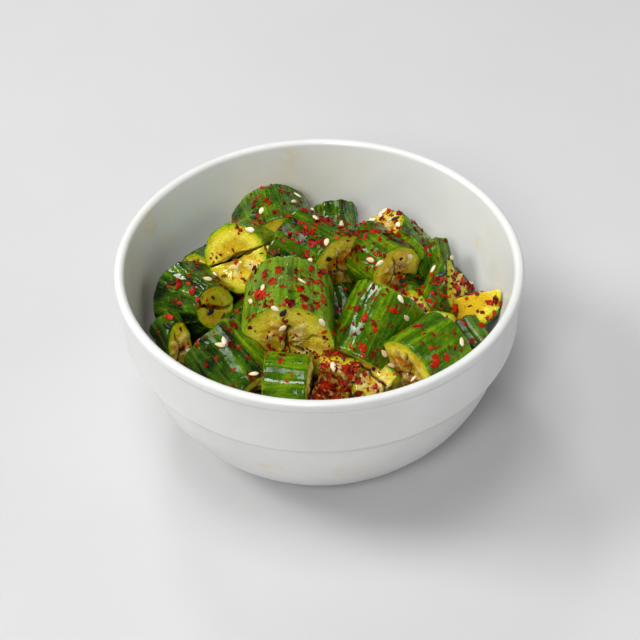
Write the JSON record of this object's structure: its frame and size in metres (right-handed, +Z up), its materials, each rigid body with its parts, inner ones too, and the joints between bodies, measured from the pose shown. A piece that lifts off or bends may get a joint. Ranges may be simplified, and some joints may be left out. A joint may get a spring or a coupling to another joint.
{
  "type": "bowl of smashed cucumber salad",
  "caption": "Round pale stoneware bowl with a rolled lip and a stepped band, filled with a heap of smashed cucumber chunks with sesame seeds and chilli flakes.",
  "frame": {"origin": "centre of the bowl's foot ring, on the surface that the bowl stands on", "axes": "+Z up along the bowl's axis, -Y towards the front of the heap"},
  "size_m": [0.14, 0.14, 0.0704],
  "materials": {
    "glaze": "satin pale grey-white glaze",
    "cucumber": "wet green cucumber skin with pale yellow-green flesh, oil and chilli"
  },
  "bodies": {
    "root": {"bowl": "glaze", "cucumber_heap": "cucumber"}
  },
  "joints": []
}
